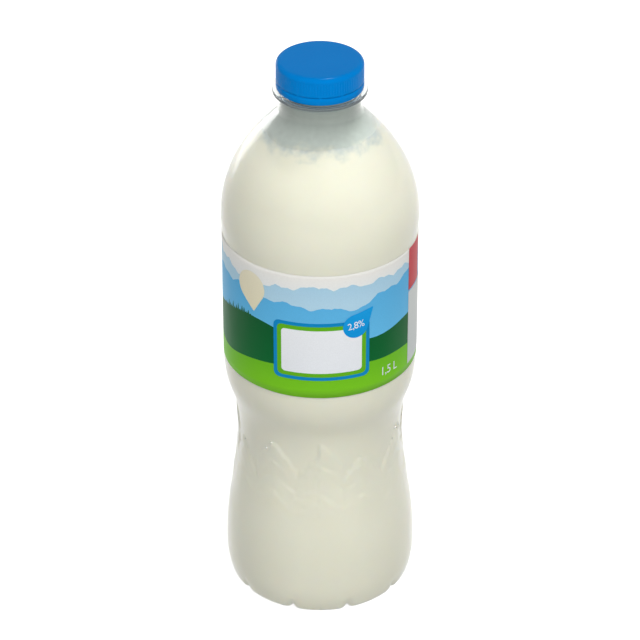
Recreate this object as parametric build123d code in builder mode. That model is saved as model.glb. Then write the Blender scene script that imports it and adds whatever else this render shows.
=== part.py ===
"""A 1.5 litre plastic milk bottle with its milk, screw cap and wrap-around label.

The frame has +Z up and its origin on the floor, under the middle of the foot.
"""

from build123d import *
from math import asin, cos, degrees, radians, sin, tan
import os

# ---- driving dimensions, in millimetres ----

# Bottle body: the radii of its stretches, each counted from the one before
panel_radius = 46.6
shoulder_bulge = 0.35
waist_depth = 6.95
belly_bulge = 0.05
heel_round = 46.0
heel_inset = 6.15
foot_flat = 2.0
foot_round = 4.5
inner_foot_turn = 30.0
push_up_height = 5.5
wall = 0.4

# Bottle body: the lengths of its stretches, from the floor up
waist_height = 83.0
waist_to_panel = 46.0
panel_length = 68.5
bead_length = 6.5
shoulder_length = 61.6
neck_length = 3.4

# How far each smooth stretch of the side runs on before it turns
belly_pull = 36.0
waist_pull_down = 25.0
waist_pull_up = 29.0
panel_pull = 23.0
bead_pull = 2.5
shoulder_pull = 28.0
neck_pull = 20.0
neck_flare = 0.44

# Ten petals in the foot, parted by grooves
petal_count = 10
groove_top = 12.0
groove_reach = 3.5
groove_half_angle = 56.0

# Mountain relief from the belly up round the waist, its peaks uneven in height and width
relief_height = 0.8
relief_foot = 52.0
relief_rise = 47.0
peak_count = 11
peak_spread = 0.62
peak_lean = 0.1
lowest_peak_share = 0.66
narrowest_peak_share = 0.7
height_rhythm = 2.4
width_rhythm = 1.7

# Neck finish
finish_radius = 17.7
finish_wall = 1.8
neck_step = 1.2
ring_overhang = 1.75
ring_thickness = 1.7
bore_blend = 5.0
lock_bead_rise = 0.9
lock_bead_height = 1.2
thread_starts = 3
thread_lead = 9.0
thread_turn = 0.4
thread_width = 1.1
thread_rise = 1.15
thread_root = 0.1
thread_clearance = 0.15

# Cap
cap_height = 13.4
cap_top_thickness = 1.5
cap_skirt = 1.3
cap_edge_round = 1.2
cap_ring_gap = 0.6
band_height = 3.6
band_slit = 0.3
bridge_count = 12
bridge_width = 0.9
knurl_count = 72
knurl_depth = 0.22
knurl_margin = 1.8

# Milk and label
headspace = 14.6
milk_clearance = 0.03
label_margin_below = 0.3
label_margin_above = 1.1
label_thickness = 0.15
label_clearance = 0.02

# ---- worked-out places ----

belly_radius = panel_radius + belly_bulge
foot_radius = belly_radius - heel_inset
waist_radius = panel_radius - waist_depth
shoulder_radius = panel_radius + shoulder_bulge
panel_bottom = waist_height + waist_to_panel
panel_top = panel_bottom + panel_length
shoulder_base = panel_top + bead_length
neck_base = shoulder_base + shoulder_length
ring_height = neck_base + neck_length
ring_top = ring_height + ring_thickness
cap_bottom = ring_top + cap_ring_gap
mouth_height = cap_bottom + cap_height - cap_top_thickness
bore_radius = finish_radius - finish_wall
neck_radius = finish_radius + neck_step
skirt_inside = finish_radius + thread_rise + 2 * thread_clearance
cap_radius = skirt_inside + cap_skirt
ring_radius = cap_radius + ring_overhang
slit_height = cap_bottom + band_height
thread_foot = slit_height + band_slit + thread_width
thread_pitch = thread_lead / thread_starts
knurl_length = cap_height - band_height - 2 * band_slit - knurl_margin
fill_level = neck_base - headspace
label_radius = panel_radius + label_clearance


def side_edges(inset):
    """The side from the foot to the neck, every point moved in by inset."""
    heel_sine = (foot_radius + heel_round - belly_radius) / (heel_round - foot_round)
    foot_turn = degrees(asin(heel_sine))
    foot = JernArc((foot_radius, inset), (1, 0), foot_round - inset, foot_turn)
    heel = JernArc(foot @ 1, foot % 1, heel_round - inset, 90 - foot_turn)
    Bezier(
        heel @ 1,
        heel @ 1 + Vector(0, belly_pull),
        (waist_radius - inset, waist_height - waist_pull_down),
        (waist_radius - inset, waist_height),
    )
    Bezier(
        (waist_radius - inset, waist_height),
        (waist_radius - inset, waist_height + waist_pull_up),
        (panel_radius - inset, panel_bottom - panel_pull),
        (panel_radius - inset, panel_bottom),
    )
    Line((panel_radius - inset, panel_bottom), (panel_radius - inset, panel_top))
    Bezier(
        (panel_radius - inset, panel_top),
        (panel_radius - inset, panel_top + bead_pull),
        (shoulder_radius - inset, shoulder_base - bead_pull),
        (shoulder_radius - inset, shoulder_base),
    )
    Bezier(
        (shoulder_radius - inset, shoulder_base),
        (shoulder_radius - inset, shoulder_base + shoulder_pull),
        (neck_radius - inset + neck_flare * neck_pull, neck_base - neck_pull),
        (neck_radius - inset, neck_base),
    )


def underside_edges(inset):
    """The flat that stands on the floor, the foot's inner round and the shallow dome."""
    flat = Line((foot_radius, inset), (foot_radius - foot_flat, inset))
    foot = JernArc(flat @ 1, (-1, 0), foot_round - inset, -inner_foot_turn)
    Bezier(
        foot @ 1,
        foot @ 1 + (foot % 1) * (foot_radius / 4),
        (foot_radius / 2, push_up_height + inset),
        (0, push_up_height + inset),
    )


def turned_body(inset):
    """The closed body of revolution that lies inset inside the outer wall."""
    with BuildPart() as turned:
        with BuildSketch(Plane.XZ):
            with BuildLine():
                side_edges(inset)
                underside_edges(inset)
                Line((neck_radius - inset, neck_base), (0, neck_base))
                Line((0, neck_base), (0, push_up_height + inset))
            make_face()
        revolve(axis=Axis.Z)
    return turned.part


def groove_cutter(inset):
    """A V-shaped bar whose lower edge runs from the heel down under the foot."""
    top = Vector(belly_radius, 0, groove_top)
    bottom = Vector(foot_radius - groove_reach, 0, 0)
    along = (bottom - top).normalized()
    outward = Vector(-along.Z, 0, along.X)
    apex = top - outward * (inset / sin(radians(groove_half_angle)))
    reach = groove_top
    half_width = reach * tan(radians(groove_half_angle))
    start = apex - along * groove_top
    with BuildPart() as cutter:
        with BuildSketch(Plane(origin=start, x_dir=(0, 1, 0), z_dir=along)):
            with BuildLine():
                Polyline((0, 0), (half_width, reach), (-half_width, reach), close=True)
            make_face()
        extrude(amount=4 * groove_top)
    return cutter.part


def petal_body(inset):
    """The turned body with the grooves between the petals cut into its foot."""
    body = turned_body(inset)
    cutter = groove_cutter(inset)
    with BuildPart() as petals:
        add(body)
        with PolarLocations(0, petal_count, start_angle=-90 + 180 / petal_count):
            add(cutter, mode=Mode.SUBTRACT)
    return petals.part


def peak_wedges():
    """Upright wedges from the axis outwards, each with the outline of a mountain."""
    step = 360 / peak_count
    widest = belly_radius * radians(step) * peak_spread
    with BuildPart() as wedges:
        for number in range(peak_count):
            height_share = cos(height_rhythm * number) ** 2
            width_share = cos(width_rhythm * number) ** 2
            height = relief_rise * (lowest_peak_share + (1 - lowest_peak_share) * height_share)
            spread = widest * (narrowest_peak_share + (1 - narrowest_peak_share) * width_share)
            facing = Plane.XZ.rotated((0, 0, number * step))
            with BuildSketch(facing):
                with BuildLine():
                    Polyline(
                        (-spread, relief_foot),
                        (spread, relief_foot),
                        (spread * peak_lean, relief_foot + height),
                        close=True,
                    )
                make_face()
            extrude(amount=2 * belly_radius)
    return wedges.part


def thread(radius, rise, foot, phase):
    """One helical ridge that stands rise out of radius, inwards where rise is negative."""
    height = thread_turn * thread_lead
    with BuildPart() as ridge:
        with BuildLine():
            Helix(pitch=thread_lead, height=height, radius=radius, center=(0, 0, foot))
        root = thread_root if rise > 0 else -thread_root
        with BuildSketch(Plane(origin=(radius, 0, foot), x_dir=(1, 0, 0), z_dir=(0, 1, 0))):
            with BuildLine():
                Polyline(
                    (-root, -thread_width / 2),
                    (rise, -thread_width / 4),
                    (rise, thread_width / 4),
                    (-root, thread_width / 2),
                    close=True,
                )
            make_face()
        sweep(is_frenet=True)
    return ridge.part.rotate(Axis.Z, phase)


# ---- bottle: clear PET shell, one piece with its neck finish ----

outside = petal_body(0)
inside = petal_body(wall)
raised_body = turned_body(-relief_height)
wedges = peak_wedges()
neck_threads = [
    thread(finish_radius, thread_rise, thread_foot, number * 360 / thread_starts)
    for number in range(thread_starts)
]

with BuildPart() as mountains:
    add(raised_body)
    add(wedges, mode=Mode.INTERSECT)

with BuildPart() as bottle:
    add(outside)
    add(mountains.part)
    with BuildSketch(Plane.XZ):
        with BuildLine():
            Polyline(
                (0, neck_base - bore_blend),
                (neck_radius, neck_base),
                (neck_radius, ring_height),
                (ring_radius, ring_height),
                (ring_radius, ring_top),
                (finish_radius, ring_top),
                (finish_radius, mouth_height),
                (0, mouth_height),
                close=True,
            )
        make_face()
    revolve(axis=Axis.Z)
    with BuildSketch(Plane.XZ):
        with Locations((finish_radius, slit_height - lock_bead_height)):
            Ellipse(lock_bead_rise, lock_bead_height / 2)
    revolve(axis=Axis.Z)
    add(neck_threads)
    add(inside, mode=Mode.SUBTRACT)
    with BuildSketch(Plane.XZ):
        with BuildLine():
            Polyline(
                (0, neck_base - bore_blend),
                (neck_radius - wall, neck_base - wall),
                (bore_radius, neck_base + bore_blend),
                (bore_radius, mouth_height),
                (0, mouth_height),
                close=True,
            )
        make_face()
    revolve(axis=Axis.Z, mode=Mode.SUBTRACT)

# ---- milk: fills the bottle up to the level ----

milk_body = petal_body(wall + milk_clearance)

with BuildPart() as milk:
    add(milk_body)
    split(bisect_by=Plane.XY.offset(fill_level), keep=Keep.BOTTOM)

# ---- cap: blue screw cap with its tamper band held by small bridges ----

cap_threads = [
    thread(
        skirt_inside,
        -thread_rise,
        thread_foot + thread_pitch / 2,
        number * 360 / thread_starts,
    )
    for number in range(thread_starts)
]

with BuildPart() as cap:
    with BuildSketch(Plane.XY.offset(cap_bottom)):
        Circle(cap_radius)
    extrude(amount=cap_height)
    fillet(cap.edges().group_by(Axis.Z)[-1], cap_edge_round)
    with BuildSketch(Plane.XY.offset(cap_bottom)):
        Circle(skirt_inside)
    extrude(amount=cap_height - cap_top_thickness, mode=Mode.SUBTRACT)
    with BuildSketch(Plane.XY.offset(slit_height)):
        Circle(cap_radius)
        with PolarLocations((cap_radius + skirt_inside) / 2, bridge_count):
            Rectangle(2 * cap_skirt, bridge_width, mode=Mode.SUBTRACT)
    extrude(amount=band_slit, mode=Mode.SUBTRACT)
    with BuildSketch(Plane.XY.offset(slit_height + 2 * band_slit)):
        with PolarLocations(cap_radius, knurl_count):
            Circle(knurl_depth)
    extrude(amount=knurl_length, mode=Mode.SUBTRACT)
    add(cap_threads)

# ---- label: thin film wrapped round the panel ----

with BuildPart() as label:
    with BuildSketch(Plane.XY.offset(panel_bottom + label_margin_below)):
        Circle(label_radius + label_thickness)
        Circle(label_radius, mode=Mode.SUBTRACT)
    extrude(amount=panel_length - label_margin_below - label_margin_above)

os.makedirs("parts", exist_ok=True)
for name, piece in (("bottle", bottle), ("milk", milk), ("cap", cap), ("label", label)):
    piece.part.label = name
    export_step(piece.part, f"parts/{name}.step")
    print(name, len(piece.part.solids()), round(piece.part.volume), piece.part.bounding_box())
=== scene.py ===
"""A clear waisted plastic bottle full of milk, with a blue screw cap and a printed wrap-around label.

Everything is in metres, +Z up. theta is the angle round the bottle's axis, from the front (-Y) towards +X.
"""

import math

import bmesh
import bpy
import numpy as np
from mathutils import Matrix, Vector

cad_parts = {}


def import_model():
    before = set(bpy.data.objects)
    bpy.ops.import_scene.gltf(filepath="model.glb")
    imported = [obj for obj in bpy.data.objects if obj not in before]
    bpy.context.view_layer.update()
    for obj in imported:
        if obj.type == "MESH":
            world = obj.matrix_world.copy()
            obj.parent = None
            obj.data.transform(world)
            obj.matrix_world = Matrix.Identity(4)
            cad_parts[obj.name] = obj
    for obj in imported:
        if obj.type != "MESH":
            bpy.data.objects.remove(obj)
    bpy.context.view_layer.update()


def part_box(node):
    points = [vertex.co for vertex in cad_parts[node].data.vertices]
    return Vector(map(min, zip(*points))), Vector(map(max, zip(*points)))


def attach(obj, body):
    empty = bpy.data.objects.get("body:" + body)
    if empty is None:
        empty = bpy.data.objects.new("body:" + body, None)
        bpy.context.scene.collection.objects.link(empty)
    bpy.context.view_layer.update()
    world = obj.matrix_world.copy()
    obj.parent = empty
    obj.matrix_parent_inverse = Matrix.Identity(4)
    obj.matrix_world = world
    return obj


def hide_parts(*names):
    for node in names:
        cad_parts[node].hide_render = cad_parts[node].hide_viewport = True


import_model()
mm = 0.001

# ---- places that the frame gives ----

label_low, label_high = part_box("label")
cap_low, cap_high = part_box("cap")
label_radius = label_high.x
cap_radius = cap_high.x
cap_bottom, cap_top = cap_low.z, cap_high.z
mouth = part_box("bottle")[1].z
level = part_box("milk")[1].z

# ---- the bottle's own sizes ----

wall = 0.4 * mm
film_gap = 0.17 * mm
panel_radius = label_radius - film_gap
waist_radius = panel_radius - 6.95 * mm
belly_radius = panel_radius + 0.05 * mm
shoulder_radius = panel_radius + 0.35 * mm
foot_radius = belly_radius - 6.15 * mm
foot_flat = 2.0 * mm
foot_round = 4.5 * mm
heel_round = 46.0 * mm
push_up = 5.5 * mm
waist_height = 83.0 * mm
panel_bottom = label_low.z - 0.3 * mm
panel_top = label_high.z + 1.1 * mm
shoulder_base = panel_top + 6.5 * mm
skirt_inside = cap_radius - 1.3 * mm
finish_radius = skirt_inside - 1.45 * mm
bore_radius = finish_radius - 1.8 * mm
neck_radius = finish_radius + 1.2 * mm
ring_radius = cap_radius + 1.75 * mm
ring_top = cap_bottom - 0.6 * mm
ring_bottom = ring_top - 1.7 * mm
neck_base = ring_bottom - 3.4 * mm

petal_count = 10
groove_top = 10 * mm
groove_depth = 3.2 * mm
relief_foot = 52.0 * mm
relief_rise = 47.0 * mm
relief_depth = 1.1 * mm
peak_count = 11
round_steps = 288
shoulder_steps, fillet_steps = 30, 8
milk_reach = wall * 0.45


# ---- meshes from arrays ----


def grid_piece(name, points, materials, faces_material=None, close_rows=False, smooth=True):
    """A surface on a grid of rows by columns of points, closed round its columns.

    A row whose points all lie on the axis is a pole, whose doubles are merged. With close_rows the last row
    is joined to the first, so the surface is a closed ring. Faces point outwards when the rows run
    up the outside and the columns run from the front towards +X.
    """
    rows, columns, _ = points.shape
    i = np.arange(rows if close_rows else rows - 1)[:, None]
    j = np.arange(columns)[None, :]
    below, above = i % rows * columns, (i + 1) % rows * columns
    right = (j + 1) % columns
    quads = np.stack([below + j, below + right, above + right, above + j], axis=-1).reshape(-1, 4)
    mesh = bpy.data.meshes.new(name)
    mesh.from_pydata(points.reshape(-1, 3), [], quads)
    if faces_material is not None:
        index = np.broadcast_to(np.asarray(faces_material)[:, None], (len(i), columns))
        mesh.polygons.foreach_set("material_index", index.reshape(-1).astype(np.int32))
    return finish_mesh(name, mesh, materials, smooth)


def finish_mesh(name, mesh, materials, smooth=True):
    """Merges doubles, drops faces that they flatten and links the mesh as a piece on the only body."""
    work = bmesh.new()
    work.from_mesh(mesh)
    bmesh.ops.remove_doubles(work, verts=work.verts, dist=1e-7)
    bmesh.ops.dissolve_degenerate(work, edges=work.edges, dist=1e-8)
    work.to_mesh(mesh)
    work.free()
    mesh.polygons.foreach_set("use_smooth", np.full(len(mesh.polygons), smooth))
    for material in materials:
        mesh.materials.append(material)
    piece = bpy.data.objects.new(name, mesh)
    bpy.context.scene.collection.objects.link(piece)
    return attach(piece, "root")


def turned(radius, height, columns=round_steps):
    """A profile of radii and heights carried round the axis: radius may differ from column to column."""
    theta = np.linspace(0, 2 * np.pi, columns, endpoint=False)[None, :]
    shape = (len(height), columns)
    parts = [np.asarray(part) for part in (radius, height)]
    radius, height = (np.broadcast_to(p if p.ndim == 2 else p[:, None], shape) for p in parts)
    return np.stack([radius * np.sin(theta), -radius * np.cos(theta), height], axis=-1)


def bezier(p0, p1, p2, p3, steps, ease=1.0):
    """Points along a cubic Bezier curve: the four points weighted by the Bernstein polynomials.

    The parameter runs from 0 to 1 as a power of even steps, so an ease above 1 puts more points at the start.
    """
    t = np.linspace(0, 1, steps)[:, None] ** ease
    p0, p1, p2, p3 = (np.asarray(p, float) for p in (p0, p1, p2, p3))
    return (1 - t) ** 3 * p0 + 3 * (1 - t) ** 2 * t * p1 + 3 * (1 - t) * t**2 * p2 + t**3 * p3


def arc(centre, radius, start, end, steps):
    """Points on a circle of that radius, from the start angle to the end angle in degrees."""
    a = np.radians(np.linspace(start, end, steps))[:, None]
    return np.asarray(centre, float) + radius * np.hstack([np.cos(a), np.sin(a)])


def straight(p0, p1, steps):
    """Points evenly along a straight line."""
    t = np.linspace(0, 1, steps)[:, None]
    return np.asarray(p0, float) * (1 - t) + np.asarray(p1, float) * t


def joined(*stretches):
    """One profile from stretches that each begin where the one before ends."""
    return np.vstack([stretches[0]] + [s[1:] for s in stretches[1:]])


def smooth_step(x):
    """0 below 0, 1 above 1 and 3x^2 - 2x^3 between."""
    x = np.clip(x, 0, 1)
    return x * x * (3 - 2 * x)


# ---- the bottle's shape ----


def side_profile(inset):
    """Radius and height from the middle of the foot to the neck, every point moved in by inset.

    The foot's round and the heel are arcs that meet where their slopes agree, and the belly, waist, panel
    and shoulder are cubic curves that start and end upright.
    """
    turn = math.degrees(math.asin((foot_radius + heel_round - belly_radius) / (heel_round - foot_round)))
    foot = arc((foot_radius, foot_round), foot_round - inset, -90, turn - 90, 8)
    middle = np.array([belly_radius - heel_round, 0.0])
    middle[1] = foot_round + (heel_round - foot_round) * math.cos(math.radians(turn))
    heel = arc(middle, heel_round - inset, turn - 90, 0, 16)
    inner = arc((foot_radius - foot_flat, foot_round), foot_round - inset, -120, -90, 5)
    dome = bezier(
        (0, push_up + inset),
        (foot_radius / 2, push_up + inset),
        inner[0] + np.array([-0.87, 0.5]) * foot_radius / 4,
        inner[0],
        9,
    )

    def r(radius):
        return radius - inset

    top = heel[-1, 1]
    belly = bezier(
        (r(belly_radius), top),
        (r(belly_radius), top + 36 * mm),
        (r(waist_radius), waist_height - 25 * mm),
        (r(waist_radius), waist_height),
        58,
    )
    waist = bezier(
        (r(waist_radius), waist_height),
        (r(waist_radius), waist_height + 29 * mm),
        (r(panel_radius), panel_bottom - 23 * mm),
        (r(panel_radius), panel_bottom),
        44,
        1.35,
    )
    panel = straight((r(panel_radius), panel_bottom), (r(panel_radius), panel_top), 4)
    bead = bezier(
        (r(panel_radius), panel_top),
        (r(panel_radius), panel_top + 2.5 * mm),
        (r(shoulder_radius), shoulder_base - 2.5 * mm),
        (r(shoulder_radius), shoulder_base),
        5,
    )
    shoulder = bezier(
        (r(shoulder_radius), shoulder_base),
        (r(shoulder_radius), shoulder_base + 28 * mm),
        (r(neck_radius) + 10.2 * mm, neck_base - 17.5 * mm),
        (r(neck_radius) + 2.0 * mm, neck_base - 8.0 * mm),
        shoulder_steps,
    )
    fillet = bezier(
        (r(neck_radius) + 2.0 * mm, neck_base - 8.0 * mm),
        (r(neck_radius) + 0.7 * mm, neck_base - 6.5 * mm),
        (r(neck_radius), neck_base - 5.0 * mm),
        (r(neck_radius), neck_base),
        fillet_steps,
    )
    flat = straight((r(foot_radius - foot_flat), inset), (r(foot_radius), inset), 3)
    flat[:, 0] += inset
    return joined(dome, inner, flat, foot, heel, belly, waist, panel, bead, shoulder, fillet)


def saw(x):
    """A triangle wave of period 1 that is 0 at whole numbers and 1 half-way between them."""
    return 1 - np.abs(x % 1 * 2 - 1)


def relief(height, theta):
    """How far the mountains stand out: a ring of peaks, their outline a soft step, with crests and spurs.

    The skyline falls in straight slopes from each peak to the pass between it and the next. From each
    peak a crest runs down in a zigzag, and the surface falls away from it on both sides, so that a
    valley lies between two crests. Short ledges slant down from the crests: each rises slowly outwards
    and ends in a short face that looks up, and a slanting wave wipes them out in places.
    """
    along = theta * belly_radius
    span = 2 * np.pi * belly_radius / peak_count
    number = np.floor(along / span + 0.5)
    tall = relief_rise * (0.86 + 0.14 * np.cos(2.4 * number))
    lean = 0.12 * span * np.sin(4.1 * number)
    up = height - relief_foot
    off = along - number * span - lean
    tooth_wide, tooth_tall = 5.6 * mm, 1.4 * mm
    skyline = tall - relief_rise * 0.3 * np.abs(off) / (span * 0.5) + tooth_tall * saw(off / tooth_wide)
    zigzag_wide, zigzag_tall = 1.9 * mm, 11 * mm
    crest = off - zigzag_wide * (saw(up / zigzag_tall + 0.3 * number) - 0.5)
    fall = np.abs(crest) / (span * 0.5)
    side = np.where(crest > 0, 1.0, 0.8)
    ledge_step = 8.5 * mm
    ledge = ((up + 0.55 * np.abs(crest) + 2 * mm * np.sin(1.3 * number)) / ledge_step) % 1
    ledge = np.minimum(ledge / 0.82, (1 - ledge) / 0.18)
    broken = smooth_step(0.5 + 1.2 * np.sin(up / (2.6 * mm) + crest / (2.1 * mm) + 2.7 * number))
    face = 1 - 0.5 * np.minimum(fall * side, 1) + 0.36 * (ledge - 0.5) * broken - 0.16
    inside = smooth_step((skyline - up) / (1.1 * mm))
    fade = smooth_step((up + 4 * mm) / (16 * mm))
    return relief_depth * np.clip(face, 0, 1) * inside * fade


def petals(radius, height, theta):
    """How far the heel is drawn in and lifted at the grooves between the petals.

    The grooves are cusps: the depth falls off from each groove's middle line with the distance to it, is full
    at the foot's edge and fades to nothing at groove_top and towards the middle of the foot.
    """
    step = 2 * np.pi / petal_count
    away = np.abs((theta + step) % step - step / 2)
    across = away * np.maximum(radius, 1e-6)
    notch = np.exp(-across / (1.3 * mm)) * (1 - smooth_step(across / (7 * mm)))
    upwards = 1 - smooth_step(height / groove_top)
    outwards = smooth_step((radius - (foot_radius - 9 * mm)) / (7 * mm))
    return notch * upwards * outwards * groove_depth


def wall_surface(inset):
    """The bottle's side at a depth of inset, as points on a grid, with its peaks and grooves."""
    profile = side_profile(inset)
    theta = np.linspace(0, 2 * np.pi, round_steps, endpoint=False)[None, :]
    radius, height = profile[:, :1], profile[:, 1:]
    out = relief(height, theta)
    drawn = petals(radius, height, theta)
    slope = np.gradient(profile, axis=0)
    slope /= np.linalg.norm(slope, axis=1, keepdims=True)
    outward_r, outward_z = slope[:, 1:], -slope[:, :1]
    radius = np.maximum(radius + out * (profile[:, :1] > 0) + drawn * -np.abs(outward_r) * 0.75, 0)
    height = height + drawn * np.maximum(-outward_z, 0.25) + 0 * theta
    radius[profile[:, 0] < 1e-9] = 0
    return radius, height


def shell_piece(pet):
    """The whole bottle: its outer wall, neck finish and inner wall as one closed surface."""
    outer_r, outer_h = wall_surface(0)
    inner_r, inner_h = (part[::-1][:-1][::2] for part in wall_surface(wall))
    theta = np.linspace(0, 2 * np.pi, round_steps, endpoint=False)[None, :]
    soft = 0.35 * mm
    ring = joined(
        straight((neck_radius, neck_base), (neck_radius, ring_bottom - soft), 3),
        arc((neck_radius + soft, ring_bottom - soft), soft, 180, 90, 4),
        straight((neck_radius + soft, ring_bottom), (ring_radius - soft, ring_bottom), 4),
        arc((ring_radius - soft, ring_bottom + soft), soft, -90, 0, 5),
        straight((ring_radius, ring_bottom + soft), (ring_radius, ring_top - soft), 2),
        arc((ring_radius - soft, ring_top - soft), soft, 0, 90, 5),
        straight((ring_radius - soft, ring_top), (finish_radius, ring_top), 4),
    )
    finish = straight((finish_radius, ring_top), (finish_radius, mouth), 30)
    rise = finish[:, 1:] - ring_top
    bead = 0.9 * mm * np.exp(-(((rise - 2.4 * mm) / (0.5 * mm)) ** 2))
    thread = 1.1 * mm * smooth_step(2 * np.cos(2 * np.pi * rise / (3 * mm) - 3 * theta) - 0.7)
    thread = thread * smooth_step((rise - 4.5 * mm) / (1 * mm))
    thread = thread * smooth_step((mouth - finish[:, 1:]) / (1.5 * mm))
    finish_r = finish[:, :1] + bead + thread
    lip = joined(
        straight((finish_radius, mouth), (bore_radius, mouth), 3),
        straight((bore_radius, mouth), (bore_radius, neck_base + 5 * mm), 6),
        bezier(
            (bore_radius, neck_base + 5 * mm),
            (bore_radius, neck_base + 2 * mm),
            (neck_radius - wall - 0.6 * mm, neck_base + 2 * mm),
            (neck_radius - wall, neck_base),
            6,
        ),
    )
    spread = np.ones_like(theta)
    axis_r, axis_h = outer_r[:1] * 0, outer_h[:1] + wall
    ring, finish_h, lip = ring[1:], finish[1:, 1:] * spread, lip[1:-1]
    radius = np.vstack([outer_r, ring[:, :1] * spread, finish_r[1:], lip[:, :1] * spread, inner_r, axis_r])
    height = np.vstack([outer_h, ring[:, 1:] * spread, finish_h, lip[:, 1:] * spread, inner_h, axis_h])
    return grid_piece("bottle_shell", turned(radius, height), [pet])


def edge_noise(theta, seed, waves, size):
    """A sum of sines round the bottle with random phases, each weaker as it gets finer."""
    source = np.random.default_rng(seed)
    total = np.zeros_like(theta)
    for wave in waves:
        total += np.sin(wave * theta + source.uniform(0, 2 * np.pi)) / math.sqrt(wave)
    return size * total / math.sqrt(len(waves))


def milk_piece(milk):
    """The milk: it reaches just into the wall up to an uneven edge, then its top runs in to the axis.

    The top is level but for a rim that climbs the wall, falling off with the distance from it.
    """
    radius, height = wall_surface(milk_reach)
    below = height[:, 0] < level - 3 * mm
    radius, height = radius[below], height[below]
    theta = np.linspace(0, 2 * np.pi, round_steps, endpoint=False)[None, :]
    shoulder = side_profile(milk_reach)[1 - shoulder_steps - fillet_steps :]
    edge = level + edge_noise(theta, 3, (2, 5, 9, 17, 31, 47), 0.9 * mm)
    steps = np.linspace(0, 1, 5)[1:, None]
    edge_h = height[-1:] + (edge - height[-1:]) * steps
    edge_r = np.interp(edge_h, shoulder[:, 1], shoulder[:, 0])
    rim = edge_r[-1:] - wall * 0.75
    inward = np.array([0, 0.4, 1, 2, 3.5, 6, 10, 15, 20, 100])[:, None] * mm
    top_r = np.maximum(rim - inward, 0)
    sunk = 1.2 * mm
    climb = np.exp(-inward / sunk) * (edge - level + sunk)
    top_h = level - sunk + climb
    radius = np.vstack([radius, edge_r, top_r])
    height = np.vstack([height, edge_h, top_h])
    return grid_piece("milk_body", turned(radius, height), [milk])


def film_piece(film):
    """The thin milk film left on the wall above the milk: a closed skin just inside the wall."""
    profile = side_profile(wall + 0.03 * mm)
    above = profile[profile[:, 1] > level - 4 * mm]
    bore = bore_radius - 0.03 * mm
    blend = bezier(
        above[-1],
        (above[-1, 0] - 0.6 * mm, neck_base + 2 * mm),
        (bore, neck_base + 2 * mm),
        (bore, neck_base + 5 * mm),
        8,
    )
    above = joined(above, blend, straight((bore, neck_base + 5 * mm), (bore, ring_top + 3 * mm), 3))
    inner = above.copy()
    inner[:, 0] -= 0.12 * mm
    ring = np.vstack([above, inner[::-1]])
    return grid_piece("milk_film_and_shade", turned(ring[:, 0], ring[:, 1]), [film], close_rows=True)


# ---- cap ----

knurl_count = 96


def cap_piece(plastic):
    """The screw cap: a profile carried round the axis, with knurls on its skirt and a slit over its band.

    The knurls draw the skirt in by a cosine of the angle, and the slit is a deep groove that small
    bridges fill at even angles.
    """
    columns = knurl_count * 8
    theta = np.linspace(0, 2 * np.pi, columns, endpoint=False)[None, :]
    edge, soft = 2.3 * mm, 0.3 * mm
    slit = cap_bottom + 3.6 * mm
    dish = 0.1 * mm
    outside = joined(
        straight((skirt_inside, cap_bottom + soft), (skirt_inside + soft, cap_bottom), 2),
        straight((skirt_inside + soft, cap_bottom), (cap_radius - soft, cap_bottom), 2),
        arc((cap_radius - soft, cap_bottom + soft), soft, -90, 0, 4),
        straight((cap_radius, cap_bottom + soft), (cap_radius, slit - 0.16 * mm), 3),
    )
    groove = straight((cap_radius, slit - 0.15 * mm), (cap_radius, slit + 0.15 * mm), 4)
    skirt = straight((cap_radius, slit + 0.16 * mm), (cap_radius, cap_top - edge - dish), 12)
    crown = joined(
        arc((cap_radius - edge, cap_top - edge - dish), edge, 0, 85, 14),
        bezier(
            (cap_radius - edge * 0.9, cap_top - dish),
            (cap_radius - 1.6 * edge, cap_top - dish * 0.4),
            (cap_radius - 3 * edge, cap_top),
            (0, cap_top),
            10,
        ),
    )
    inside = joined(
        straight((0, mouth + 0.02 * mm), (skirt_inside, mouth + 0.02 * mm), 4),
        straight((skirt_inside, mouth + 0.02 * mm), (skirt_inside, cap_bottom + soft), 6),
    )
    spread = np.ones_like(theta)
    bridge = smooth_step(4 * np.cos(12 * theta) - 3)
    knurl = 0.11 * mm * (0.5 + 0.5 * np.cos(knurl_count * theta)) ** 2
    knurl_fade = smooth_step((skirt[:, 1:] - slit - 0.8 * mm) / (0.5 * mm))
    knurl_fade = knurl_fade * smooth_step((cap_top - edge - skirt[:, 1:]) / (0.8 * mm))
    radii = [
        outside[:, :1] * spread,
        groove[:, :1] - 0.45 * mm * (1 - bridge),
        skirt[:, :1] - knurl * knurl_fade,
        crown[1:, :1] * spread,
        inside[:, :1] * spread,
    ]
    heights = [part[:, 1:] * spread for part in (outside, groove, skirt, crown[1:], inside)]
    return grid_piece("screw_cap", turned(np.vstack(radii), np.vstack(heights), columns), [plastic])


# ---- label ----

print_lift = 0.05 * mm


def hills(theta, base, waves):
    """A skyline in metres over the label's lower edge: a height and a few sines of the angle."""
    return (base + sum(size * np.sin(count * theta + start) for size, count, start in waves)) * mm


def firs(theta, middle, spread, count, tall):
    """Fir tops on a skyline: a row of narrow triangles whose heights fade at the ends of the row."""
    place = (theta - middle + np.pi) % (2 * np.pi) - np.pi
    teeth = 1 - np.abs((place / spread * count) % 1 - 0.5) * 2
    uneven = 0.65 + 0.35 * np.sin(np.floor(place / spread * count) * 2.3)
    return tall * mm * teeth * uneven * np.clip(2 - 2 * np.abs(place) / spread, 0, 1)


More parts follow.
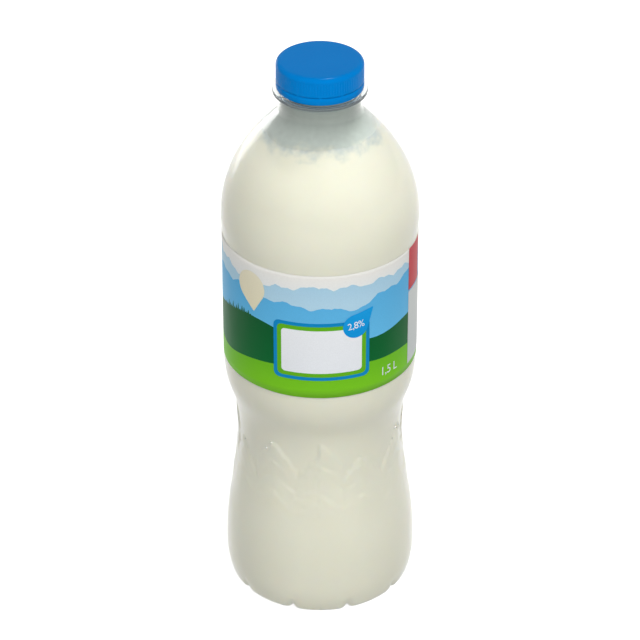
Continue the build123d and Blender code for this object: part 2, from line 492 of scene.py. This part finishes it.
def label_piece(inks):
    """The label's film as a closed sleeve whose rows follow the skylines, so each ink has a crisp edge.

    Between two skylines the rows are evenly spaced. Behind, one end of the film laps over the other.
    """
    columns = 900
    theta = np.linspace(0, 2 * np.pi, columns, endpoint=False)
    tall = label_high.z - label_low.z
    meadow = hills(theta, 15.5, ((2.6, 2, 0.9), (1.4, 3, 2.2), (0.5, 7, 1.0)))
    woods = hills(theta, 32.5, ((3.4, 2, 2.6), (2.2, 3, 4.4), (0.8, 7, 0.3)))
    woods += firs(theta, -1.02, 0.3, 9, 4.5) + firs(theta, 1.5, 0.4, 11, 4) + firs(theta, 3.3, 0.5, 13, 4.5)
    middle = hills(theta, 50.5, ((3.5, 2, -1.0), (2.6, 3, 3.4), (0.7, 8, 2.0)))
    middle += (2.6 * saw(theta * 2.07 + 0.2) + 1.0 * saw(theta * 5.1 + 0.4) + 0.15 * saw(theta * 17.2)) * mm
    far = hills(theta, 58.0, ((1.3, 3, 0.4), (0.9, 5, 2.6)))
    far += (2.2 * saw(theta * 2.9 + 0.6) + 0.9 * saw(theta * 7.3) + 0.15 * saw(theta * 23.1)) * mm
    middle = np.minimum(middle, tall - 3 * mm)
    far = np.clip(far, middle + 0.3 * mm, tall - 1.5 * mm)
    edges = [0 * theta, meadow, woods, middle, far, 0 * theta + tall]
    steps = 4
    rows, owner = [], []
    for band in range(5):
        for step in range(steps):
            share = step / steps
            rows.append(edges[band] * (1 - share) + edges[band + 1] * share)
            owner.append(band)
    rows.append(edges[-1])
    outer_h = np.array(rows) + label_low.z
    across = (theta - np.pi) * label_radius
    half, ramp = 5 * mm, 0.4 * mm
    lap = 0.08 * mm * smooth_step((across + half) / ramp) * smooth_step((half - across) / ramp)
    ripple = edge_noise(theta, 11, (3, 7, 19, 37), 0.03 * mm)
    outer_r = label_radius - 0.06 * mm + lap + ripple * np.ones_like(outer_h)
    inner_h = np.array([edges[-1], edges[0]]) + label_low.z
    inner_r = np.full_like(inner_h, panel_radius + 0.01 * mm)
    radius, height = np.vstack([outer_r, inner_r]), np.vstack([outer_h, inner_h])
    owner += [5, 5, 5]
    return grid_piece("label_film", turned(radius, height, columns), inks, owner, close_rows=True)


def patch(name, outline, ink, layer, steps=200, rings=18):
    """A printed patch that lies on the label: outline(t) gives its edge for t from 0 to 1, unrolled.

    Its points run from its middle to the edge, then back to the middle underneath, and the unrolled width
    becomes an angle round the bottle, so the patch is a thin closed skin on the label's curve.
    """
    t = np.linspace(0, 1, steps, endpoint=False)
    along, up = outline(t)
    centre = np.array([along.mean(), up.mean()])
    share = np.hstack([np.linspace(0, 1, rings), np.linspace(1, 0, rings)])[:, None]
    lift = np.repeat([1.0, -0.2], rings)[:, None]
    s = centre[0] + share * (along - centre[0])
    z = label_low.z + centre[1] + share * (up - centre[1])
    r = label_radius + print_lift * (layer + 0.2 + 0.8 * (lift - 1)) + 0 * s
    points = np.stack([r * np.sin(s / label_radius), -r * np.cos(s / label_radius), z], axis=-1)
    return grid_piece(name, points[::-1], [ink], smooth=False)


def panel_outline(half_wide, half_tall, middle, corner):
    """A rectangle with rounded corners: the edge of the box shrunk by the corner's radius, pushed back out.

    For each direction the box's edge point is found, then clamped to the shrunk box, and the corner's
    radius is added along what is left over.
    """

    def outline(t):
        c, s = np.cos(2 * np.pi * t), np.sin(2 * np.pi * t)
        size = np.maximum(np.abs(c), np.abs(s))
        x, y = c / size * half_wide, s / size * half_tall
        inner_x = np.clip(x, corner - half_wide, half_wide - corner)
        inner_y = np.clip(y, corner - half_tall, half_tall - corner)
        over = np.maximum(np.hypot(x - inner_x, y - inner_y), 1e-9)
        x = inner_x + (x - inner_x) / over * corner
        y = inner_y + (y - inner_y) / over * corner
        return middle[0] + x, middle[1] + y

    return outline


def drop_outline(radius, middle, tip, reach):
    """A circle drawn out to a point at the angle tip, reach metres from its middle, by its two tangents.

    Between the tangents the distance from the middle is the radius over the cosine of the angle to
    where the nearer tangent touches.
    """
    touch = math.acos(radius / reach)

    def outline(t):
        a = 2 * np.pi * t
        off = np.abs((a - tip + np.pi) % (2 * np.pi) - np.pi)
        r = np.where(off < touch, radius / np.cos(touch - off), radius)
        return middle[0] + r * np.cos(a), middle[1] + r * np.sin(a)

    return outline


def box_outline(low, high):
    """A rectangle from its low corner to its high corner, its edge walked at an even pace."""

    def outline(t):
        u = t * 4
        x = np.select([u < 1, u < 2, u < 3], [u, 1, 3 - u], 0)
        y = np.select([u < 1, u < 2, u < 3], [0, u - 1, 1], 4 - u)
        return low[0] + x * (high[0] - low[0]), low[1] + y * (high[1] - low[1])

    return outline


def lettering(name, text, middle, tall, ink, layer, tilt=0.0):
    """Plain figures laid on the label: flat text made a mesh, then rolled round the bottle."""
    curve = bpy.data.curves.new(name, "FONT")
    curve.body = text
    curve.align_x, curve.align_y = "CENTER", "CENTER"
    curve.size = tall / 0.7
    curve.extrude = print_lift * 0.4
    curve.space_character = 0.95
    flat = bpy.data.objects.new(name + "_flat", curve)
    bpy.context.scene.collection.objects.link(flat)
    bpy.context.view_layer.update()
    mesh = bpy.data.meshes.new_from_object(flat.evaluated_get(bpy.context.evaluated_depsgraph_get()))
    bpy.data.objects.remove(flat)
    points = np.zeros(len(mesh.vertices) * 3)
    mesh.vertices.foreach_get("co", points)
    points = points.reshape(-1, 3)
    x = points[:, 0] * 0.9
    s = middle[0] + x * math.cos(tilt) - points[:, 1] * math.sin(tilt)
    z = label_low.z + middle[1] + x * math.sin(tilt) + points[:, 1] * math.cos(tilt)
    r = label_radius + print_lift * layer + points[:, 2]
    rolled = np.stack([r * np.sin(s / label_radius), -r * np.cos(s / label_radius), z], axis=-1)
    mesh.vertices.foreach_set("co", rolled.reshape(-1))
    mesh.name = name
    return finish_mesh(name, mesh, [ink], smooth=False)


# ---- materials ----


def linear(code):
    """An sRGB hex colour as linear red, green, blue and alpha."""
    parts = [int(code[i : i + 2], 16) / 255 for i in (1, 3, 5)]
    return [p / 12.92 if p <= 0.04045 else ((p + 0.055) / 1.055) ** 2.4 for p in parts] + [1.0]


def node(tree, kind, settings=None, links=None):
    """Adds a node of that kind, sets its values and sockets, and links other nodes' outputs to its inputs."""
    made = tree.nodes.new(kind)
    for key, value in (settings or {}).items():
        if key in made.inputs.keys() or isinstance(key, int):
            made.inputs[key].default_value = value
        else:
            setattr(made, key, value)
    for key, output in (links or {}).items():
        tree.links.new(output, made.inputs[key])
    return made


def new_material(name):
    """An empty node material with its output, and its tree."""
    material = bpy.data.materials.new(name)
    material.use_nodes = True
    tree = material.node_tree
    tree.nodes.clear()
    return material, tree, tree.nodes.new("ShaderNodeOutputMaterial")


def noise(tree, size, detail=2.0, roughness=0.5, stretch=(1, 1, 1)):
    """Noise in the piece's own space whose blobs are about size metres across."""
    place = node(tree, "ShaderNodeTexCoord")
    scaled = node(tree, "ShaderNodeMapping", {"Scale": stretch}, {"Vector": place.outputs["Object"]})
    settings = {"Scale": 1 / size, "Detail": detail, "Roughness": roughness}
    return node(tree, "ShaderNodeTexNoise", settings, {"Vector": scaled.outputs[0]})


def bump(tree, height, depth):
    """A bump whose full height is depth metres."""
    return node(tree, "ShaderNodeBump", {"Distance": depth, "Strength": 1.0}, {"Height": height})


def pet_material():
    """Blow-moulded clear PET: hard, glossy and colourless, with the slow ripple that blowing leaves.

    The thick neck and ring mix in a little pale blue diffuse: partly haze, partly painted light that stands
    in for the cap's blue light caught in the ring and the light line it makes. Lamps pass straight through,
    so that the milk is lit.
    """
    material, tree, out = new_material("clear_pet")
    ripple = bump(tree, noise(tree, 9 * mm, 1.0).outputs["Fac"], 0.12 * mm)
    place = node(tree, "ShaderNodeTexCoord")
    split = node(tree, "ShaderNodeSeparateXYZ", links={0: place.outputs["Object"]})
    polish = {"From Min": level, "From Max": neck_base, "To Min": 0.2, "To Max": 0.04}
    rough = node(tree, "ShaderNodeMapRange", polish, {"Value": split.outputs["Z"]})
    settings = {"Base Color": linear("#F7F9F5"), "IOR": 1.5, "Transmission Weight": 1.0}
    links = {"Normal": ripple.outputs[0], "Roughness": rough.outputs[0]}
    body = node(tree, "ShaderNodeBsdfPrincipled", settings, links)
    # painted light: near the ring a pale blue diffuse share stands in for the cap's blue light in the clear
    # ring and its light line
    haze_and_light_range = {"interpolation_type": "SMOOTHSTEP", "To Max": 0.08}
    haze_and_light_range.update({"From Min": neck_base - 1 * mm, "From Max": ring_bottom + 0.4 * mm})
    thick = node(tree, "ShaderNodeMapRange", haze_and_light_range, {"Value": split.outputs["Z"]})
    haze_and_ring_light = node(tree, "ShaderNodeBsdfPrincipled", {"Base Color": linear("#BFD9EA"), "Roughness": 0.2})
    links = {0: thick.outputs[0], 1: body.outputs[0], 2: haze_and_ring_light.outputs[0]}
    neck = node(tree, "ShaderNodeMixShader", links=links)
    clear = node(tree, "ShaderNodeBsdfTransparent", {"Color": linear("#F8F9F6")})
    path = node(tree, "ShaderNodeLightPath")
    links = {0: path.outputs["Is Shadow Ray"], 1: neck.outputs[0], 2: clear.outputs[0]}
    mix = node(tree, "ShaderNodeMixShader", links=links)
    tree.links.new(mix.outputs[0], out.inputs["Surface"])
    return material


def film_colour_and_shade(tree, thick):
    """The colour of milk on the wall: the thick colour below an uneven line near the level, and above it a
    grey of painted shade, the dim headspace shaded by the cap and neck, darker towards the neck.

    The line is the height with lumps of noise added, and finer specks vary the grey. The thick colour is
    a list of values or another node's output.
    """
    place = node(tree, "ShaderNodeTexCoord")
    split = node(tree, "ShaderNodeSeparateXYZ", links={0: place.outputs["Object"]})
    lumps = noise(tree, 7 * mm, 4.0, 0.6, (1, 1, 1.5))
    swing = {"To Min": -7 * mm, "To Max": 7 * mm}
    wander = node(tree, "ShaderNodeMapRange", swing, {"Value": lumps.outputs["Fac"]})
    links = {0: split.outputs["Z"], 1: wander.outputs[0]}
    uneven = node(tree, "ShaderNodeMath", {"operation": "ADD"}, links)
    eased = {"interpolation_type": "SMOOTHSTEP"}
    settings = {**eased, "From Min": level - 5 * mm, "From Max": level + 2 * mm}
    thin_and_shaded = node(tree, "ShaderNodeMapRange", settings, {"Value": uneven.outputs[0]})
    settings = {**eased, "From Min": level + 1 * mm, "From Max": neck_base - 2 * mm}
    high = node(tree, "ShaderNodeMapRange", settings, {"Value": split.outputs["Z"]})
    # painted shade: the film's grey darkens from the level up to the neck, standing in for the shade that the
    # cap and neck cast inside
    headspace_shade_greys = {"data_type": "RGBA", 6: linear("#D0D8D7"), 7: linear("#A6B0AE")}
    shade_towards_neck = node(tree, "ShaderNodeMix", headspace_shade_greys, {0: high.outputs[0]})
    specks = noise(tree, 2.2 * mm, 3.0, 0.6)
    speckle = {"To Min": 0.86, "To Max": 1.14}
    mottle = node(tree, "ShaderNodeMapRange", speckle, {"Value": specks.outputs["Fac"]})
    links = {"Color": shade_towards_neck.outputs[2], "Value": mottle.outputs[0]}
    grey = node(tree, "ShaderNodeHueSaturation", links=links)
    tint = node(tree, "ShaderNodeMix", {"data_type": "RGBA"}, {0: thin_and_shaded.outputs[0], 7: grey.outputs[0]})
    if isinstance(thick, list):
        tint.inputs[6].default_value = thick
    else:
        tree.links.new(thick, tint.inputs[6])
    return tint.outputs[2]


def milk_material():
    """Whole milk: opaque warm white, light spreading a little way under its surface."""
    material, tree, out = new_material("whole_milk")
    cloud = noise(tree, 25 * mm, 2.0)
    creamy = {"data_type": "RGBA", 6: linear("#F7F5E9"), 7: linear("#F3F1E3")}
    tint = node(tree, "ShaderNodeMix", creamy, {0: cloud.outputs["Fac"]})
    settings = {
        "Roughness": 0.45,
        "IOR": 1.35,
        "Subsurface Weight": 0.3,
        "Subsurface Radius": (1.0, 0.8, 0.55),
        "Subsurface Scale": 2.5 * mm,
    }
    # near the level the milk's colour blends into the film's grey, which is painted shade
    body = node(tree, "ShaderNodeBsdfPrincipled", settings, {"Base Color": film_colour_and_shade(tree, tint.outputs[2])})
    tree.links.new(body.outputs[0], out.inputs["Surface"])
    return material


def film_material():
    """The film that milk leaves on the wall when the bottle is shaken: opaque by the milk, thinner above,
    where its grey is painted shade.
    """
    material, tree, out = new_material("milk_film_and_shade")
    place = node(tree, "ShaderNodeTexCoord")
    split = node(tree, "ShaderNodeSeparateXYZ", links={0: place.outputs["Object"]})
    settings = {"From Min": level + 3 * mm, "From Max": neck_base, "To Min": 1.0, "To Max": 0.9}
    cover = node(tree, "ShaderNodeMapRange", settings, {"Value": split.outputs["Z"]})
    links = {"Base Color": film_colour_and_shade(tree, linear("#F5F3E7")), "Alpha": cover.outputs[0]}
    body = node(tree, "ShaderNodeBsdfPrincipled", {"Roughness": 0.5, "IOR": 1.35}, links)
    tree.links.new(body.outputs[0], out.inputs["Surface"])
    return material


def cap_material():
    """Injection-moulded blue HDPE: waxy, satin, with the faint grain of its mould."""
    material, tree, out = new_material("blue_hdpe")
    grain = bump(tree, noise(tree, 0.35 * mm, 2.0).outputs["Fac"], 0.004 * mm)
    shade = noise(tree, 12 * mm, 1.0)
    blues = {"data_type": "RGBA", 6: linear("#0080D4"), 7: linear("#0085D8")}
    tint = node(tree, "ShaderNodeMix", blues, {0: shade.outputs["Fac"]})
    settings = {"Roughness": 0.18, "IOR": 1.5, "Specular IOR Level": 0.025}
    links = {"Base Color": tint.outputs[2], "Normal": grain.outputs[0]}
    body = node(tree, "ShaderNodeBsdfPrincipled", settings, links)
    tree.links.new(body.outputs[0], out.inputs["Surface"])
    return material


def ink_material(name, low_colour, high_colour, low, high):
    """Printed OPP film: smooth, satin-glossy ink whose colour runs from low to high up the label.

    A fine screen grain breaks up the colour, and the film's slow buckles bend its highlights.
    """
    material, tree, out = new_material(name)
    place = node(tree, "ShaderNodeTexCoord")
    split = node(tree, "ShaderNodeSeparateXYZ", links={0: place.outputs["Object"]})
    settings = {"From Min": label_low.z + low * mm, "From Max": label_low.z + high * mm}
    rise = node(tree, "ShaderNodeMapRange", settings, {"Value": split.outputs["Z"]})
    run = {"data_type": "RGBA", 6: linear(low_colour), 7: linear(high_colour)}
    ink = node(tree, "ShaderNodeMix", run, {0: rise.outputs[0]})
    grain = noise(tree, 0.5 * mm, 1.0)
    screen = {"To Min": 0.94, "To Max": 1.06}
    soft = node(tree, "ShaderNodeMapRange", screen, {"Value": grain.outputs["Fac"]})
    links = {"Color": ink.outputs[2], "Value": soft.outputs[0]}
    shade = node(tree, "ShaderNodeHueSaturation", links=links)
    buckle = bump(tree, noise(tree, 14 * mm, 1.0, 0.5, (1, 1, 0.4)).outputs["Fac"], 0.25 * mm)
    settings = {"Roughness": 0.4, "IOR": 1.49, "Specular IOR Level": 0.06}
    links = {"Base Color": shade.outputs[0], "Normal": buckle.outputs[0]}
    body = node(tree, "ShaderNodeBsdfPrincipled", settings, links)
    tree.links.new(body.outputs[0], out.inputs["Surface"])
    return material


# ---- stage, light and camera ----


def seen(tree, strength):
    """That strength for what the camera, a gloss or a clear wall shows, and 0 for rays that light a surface.

    A ray that has already left a dull surface counts as light, even where it then passes a clear wall.
    """
    path = node(tree, "ShaderNodeLightPath")
    shown = path.outputs["Is Camera Ray"]
    for kind in ("Is Glossy Ray", "Is Transmission Ray"):
        either = {0: shown, 1: path.outputs[kind]}
        shown = node(tree, "ShaderNodeMath", {"operation": "MAXIMUM"}, either).outputs[0]
    depth = {0: path.outputs["Diffuse Depth"]}
    undimmed = node(tree, "ShaderNodeMath", {"operation": "LESS_THAN", 1: 0.5}, depth)
    both = {0: shown, 1: undimmed.outputs[0]}
    shown = node(tree, "ShaderNodeMath", {"operation": "MULTIPLY"}, both).outputs[0]
    return node(tree, "ShaderNodeMath", {"operation": "MULTIPLY", 1: strength}, {0: shown}).outputs[0]


def stage():
    """A pale floor that shows white to the camera except where the bottle shades it, and soft lamps."""
    floor_mesh = bpy.data.meshes.new("floor")
    half = 12.0
    corners = [(-half, -half, 0), (half, -half, 0), (half, half, 0), (-half, half, 0)]
    floor_mesh.from_pydata(corners, [], [(0, 1, 2, 3)])
    floor = bpy.data.objects.new("floor", floor_mesh)
    bpy.context.scene.collection.objects.link(floor)
    material, tree, out = new_material("pale_floor")
    body = node(tree, "ShaderNodeBsdfPrincipled", {"Base Color": linear("#DCDCD8"), "Roughness": 0.9})
    glow = node(tree, "ShaderNodeEmission", links={"Strength": seen(tree, 0.85)})
    both = node(tree, "ShaderNodeAddShader", links={0: body.outputs[0], 1: glow.outputs[0]})
    tree.links.new(both.outputs[0], out.inputs["Surface"])
    floor_mesh.materials.append(material)


def lamp(name, place, target, wide, tall, watts, mirrored=True, diffuse=True):
    """A soft box of that size, in metres, turned to face a point.

    Gloss and clear walls show it only where it is mirrored, and it lights dull surfaces only where it is
    diffuse.
    """
    light = bpy.data.lights.new(name, "AREA")
    light.shape = "RECTANGLE"
    light.size, light.size_y = wide, tall
    light.energy = watts
    made = bpy.data.objects.new(name, light)
    made.visible_glossy = mirrored
    made.visible_transmission = mirrored
    made.visible_diffuse = diffuse
    bpy.context.scene.collection.objects.link(made)
    aim(made, place, target)


def aim(thing, place, target):
    """Puts a lamp or camera at a place, its -Z towards the target and its +Y upwards."""
    thing.location = place
    thing.rotation_euler = (Vector(target) - Vector(place)).to_track_quat("-Z", "Y").to_euler()


def camera():
    """A long lens that looks down on the bottle."""
    distance, down, target = 1.483, math.radians(32.2), 143.5 * mm
    data = bpy.data.cameras.new("camera")
    data.sensor_width = 36.0
    data.lens = 172.9
    made = bpy.data.objects.new("camera", data)
    bpy.context.scene.collection.objects.link(made)
    place = (0, -distance * math.cos(down), target + distance * math.sin(down))
    aim(made, place, (0, 0, target))
    bpy.context.scene.camera = made


def world():
    """Even, colourless light from all round, and plain white to the camera, a gloss or a clear wall."""
    bpy.context.scene.world = bpy.data.worlds.new("studio")
    bpy.context.scene.world.use_nodes = True
    tree = bpy.context.scene.world.node_tree
    tree.nodes.clear()
    soft = node(tree, "ShaderNodeBackground", {"Color": linear("#FFFFFF"), "Strength": 0.36})
    white = node(tree, "ShaderNodeBackground", {"Color": linear("#FFFFFF"), "Strength": 1.0})
    links = {0: seen(tree, 1.0), 1: soft.outputs[0], 2: white.outputs[0]}
    mix = node(tree, "ShaderNodeMixShader", links=links)
    node(tree, "ShaderNodeOutputWorld", links={0: mix.outputs[0]})


# ---- the bottle, piece by piece ----

pet, milk, film = pet_material(), milk_material(), film_material()

shell = shell_piece(pet)
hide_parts("bottle")

body = milk_piece(milk)
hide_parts("milk")
for piece in (body, film_piece(film)):
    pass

cap = cap_piece(cap_material())
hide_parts("cap")

inks = [
    ink_material("ink_meadow", "#7CCB22", "#6AB820", 0, 18),
    ink_material("ink_woods", "#00622D", "#005427", 12, 40),
    ink_material("ink_middle_hills", "#66BDEC", "#5AB0E2", 28, 56),
    ink_material("ink_far_hills", "#B4D6EA", "#A6CDE4", 50, 64),
    ink_material("ink_sky", "#E6EAEC", "#EDEBE6", 56, 67),
    ink_material("label_underside", "#E9E9E4", "#E9E9E4", 0, 67),
]
label = label_piece(inks)
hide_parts("label")

white_ink = ink_material("ink_white", "#E8ECF2", "#EDEFF3", 10, 42)
title_middle = (0.8 * mm, 25.6 * mm)
patches = [
    patch(
        "title_border_blue",
        panel_outline(23.4 * mm, 15.8 * mm, title_middle, 3 * mm),
        ink_material("ink_border_blue", "#0A86C4", "#0A86C4", 8, 44),
        1,
    ),
    patch(
        "title_border_green",
        panel_outline(21.6 * mm, 14 * mm, title_middle, 2.4 * mm),
        ink_material("ink_border_green", "#62B01E", "#62B01E", 8, 44),
        2,
    ),
    patch("title_field", panel_outline(19.4 * mm, 11.8 * mm, title_middle, 1.8 * mm), white_ink, 3),
    patch(
        "drop_badge",
        drop_outline(6.3 * mm, (17.1 * mm, 38.4 * mm), math.radians(44), 12.5 * mm),
        ink_material("ink_badge_blue", "#0A92DC", "#1BA0E4", 32, 50),
        4,
    ),
    patch(
        "pin_badge",
        drop_outline(8.2 * mm, (-35.6 * mm, 54.2 * mm), math.radians(-82), 13 * mm),
        ink_material("ink_badge_cream", "#E6DFC2", "#E9E3CB", 38, 66),
        1,
    ),
    patch(
        "side_field_red",
        box_outline((51.5 * mm, 44 * mm), (66 * mm, 66.9 * mm)),
        ink_material("ink_side_red", "#C23A42", "#C6404A", 40, 67),
        1,
    ),
    patch(
        "side_field_grey",
        box_outline((51.5 * mm, 3 * mm), (88 * mm, 43.2 * mm)),
        ink_material("ink_side_grey", "#C9CFD0", "#D3D7D6", 0, 44),
        1,
    ),
    lettering("figures_fat", "2,8%", (17.2 * mm, 38.8 * mm), 3.6 * mm, white_ink, 5, math.radians(8)),
    lettering("figures_volume", "1,5 L", (36.2 * mm, 8.2 * mm), 4.6 * mm, white_ink, 2),
]

stage()
world()
lamp("key", (0.62, -1.38, 1.9), (0, 0, 0.15), 0.9, 0.7, 28.5, mirrored=False)
lamp("fill", (-0.8, -1.3, 0.35), (0, 0, 0.1), 0.8, 0.5, 3.0, mirrored=False)
lamp("glint", (0.19, 0.33, 1.5), (0, 0, 0.28), 0.25, 0.05, 9, diffuse=False)
lamp("edge_panel", (-0.65, 0.95, 0.2), (0, 0, 0.2), 0.5, 0.5, 2)
camera()
bpy.context.scene.view_settings.view_transform = "Standard"
